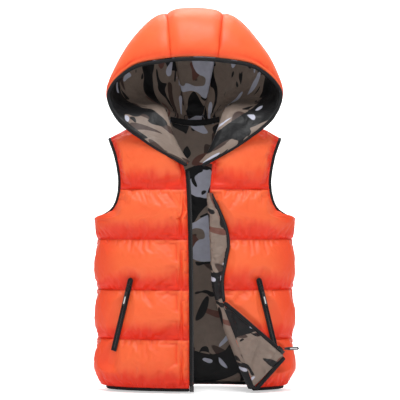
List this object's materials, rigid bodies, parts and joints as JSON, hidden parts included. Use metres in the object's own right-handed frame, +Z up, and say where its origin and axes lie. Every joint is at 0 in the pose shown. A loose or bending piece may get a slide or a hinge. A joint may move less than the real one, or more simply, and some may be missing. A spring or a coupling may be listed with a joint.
{
  "type": "blaze orange vest",
  "caption": "Sleeveless hooded padded waistcoat in bright orange with camouflage lining, black bound edges, open front zip and two slanted zip pockets.",
  "frame": {"origin": "hook seat: middle of the underside of the hanger loop inside the back neck", "axes": "+Z up as worn, -Y out of the front, +X the wearer's left"},
  "size_m": [0.5141, 0.2209, 0.9669],
  "materials": {
    "orange_nylon": "satin woven nylon",
    "camouflage_lining": "printed woven polyester, blotch pattern",
    "wadding": "white polyester fleece",
    "black_binding": "ribbed elastic tape",
    "zip_tape": "woven herringbone tape",
    "pocketing": "plain woven",
    "black_plastic": "semi-gloss moulded",
    "black_metal": "black enamelled die casting",
    "pull_rubber": "matt moulded rubber"
  },
  "bodies": {
    "vest_body": {"back_shell": "orange_nylon", "right_front_shell": "orange_nylon", "left_front_shell": "orange_nylon", "left_facing_shell": "orange_nylon", "right_collar_shell": "orange_nylon", "left_collar_shell": "orange_nylon", "back_lining": "camouflage_lining", "right_front_lining": "camouflage_lining", "left_front_lining": "camouflage_lining", "left_facing_lining": "camouflage_lining", "right_collar_lining": "camouflage_lining", "left_collar_lining": "camouflage_lining", "back_wadding": "wadding", "right_front_wadding": "wadding", "left_front_wadding": "wadding", "right_armhole_binding": "black_binding", "left_armhole_binding": "black_binding", "back_hem_binding": "black_binding", "right_hem_binding": "black_binding", "left_hem_binding": "black_binding", "right_collar_binding": "black_binding", "left_collar_binding": "black_binding", "neck_seam_tape": "black_binding", "hanger_loop": "black_binding", "right_zip_tape": "zip_tape", "left_upper_zip_tape": "zip_tape", "right_pocket_tape": "zip_tape", "left_pocket_tape": "zip_tape", "right_pocket_bag": "pocketing", "left_pocket_bag": "pocketing", "right_zip_teeth": "black_plastic", "left_upper_zip_teeth": "black_plastic", "right_pocket_coil": "black_plastic", "left_pocket_coil": "black_plastic", "zip_insertion_pin": "black_plastic"},
    "hood": {"hood_right_shell": "orange_nylon", "hood_centre_shell": "orange_nylon", "hood_left_shell": "orange_nylon", "hood_right_lining": "camouflage_lining", "hood_centre_lining": "camouflage_lining", "hood_left_lining": "camouflage_lining", "hood_wadding": "wadding", "hood_binding": "black_binding"},
    "left_flap": {"flap_shell": "orange_nylon", "flap_lining": "camouflage_lining", "flap_wadding": "wadding", "flap_hem_binding": "black_binding", "flap_zip_tape": "zip_tape", "flap_zip_teeth": "black_plastic", "zip_retainer_box": "black_plastic"},
    "front_slider": {"front_slider": "black_metal"},
    "front_pull": {"front_pull_link": "black_metal", "front_pull_tab": "pull_rubber"},
    "right_pocket_slider": {"right_pocket_slider": "black_metal"},
    "right_pocket_pull": {"right_pocket_pull_link": "black_metal", "right_pocket_pull_tab": "pull_rubber"},
    "left_pocket_slider": {"left_pocket_slider": "black_metal"},
    "left_pocket_pull": {"left_pocket_pull_link": "black_metal", "left_pocket_pull_tab": "pull_rubber"}
  },
  "joints": [
    {"name": "hood_fold", "type": "hinge", "parent": "vest_body", "child": "hood", "pos_m": [0, 0.04034, 0.00143], "axis": [-1, 0, 0], "range_deg": [0, 55]},
    {"name": "front_corner_fold", "type": "hinge", "parent": "vest_body", "child": "left_flap", "pos_m": [0.058, -0.13122, -0.46457], "axis": [0.359, 0.0684, -0.9308], "range_deg": [0, 150]},
    {"name": "front_zip_slide", "type": "slide", "parent": "left_flap", "child": "front_slider", "axis": [-0.7476, -0.127, 0.6519], "range_m": [0, 0.14]},
    {"name": "front_pull_swing", "type": "hinge", "parent": "front_slider", "child": "front_pull", "pos_m": [0.2151, -0.1158, -0.59059], "axis": [0.0035, 0.0126, -0.9999], "range_deg": [0, 150]},
    {"name": "right_pocket_slide", "type": "slide", "parent": "vest_body", "child": "right_pocket_slider", "axis": [-0.2347, 0.0897, -0.9679], "range_m": [0, 0.15]},
    {"name": "right_pocket_pull_swing", "type": "hinge", "parent": "right_pocket_slider", "child": "right_pocket_pull", "pos_m": [-0.16813, -0.11532, -0.43638], "axis": [-0.9062, 0.3402, 0.2512], "range_deg": [0, 150]},
    {"name": "left_pocket_slide", "type": "slide", "parent": "vest_body", "child": "left_pocket_slider", "axis": [0.2347, 0.0897, -0.9679], "range_m": [0, 0.15]},
    {"name": "left_pocket_pull_swing", "type": "hinge", "parent": "left_pocket_slider", "child": "left_pocket_pull", "pos_m": [0.16813, -0.11532, -0.43638], "axis": [-0.9062, -0.3402, -0.2512], "range_deg": [0, 150]}
  ]
}
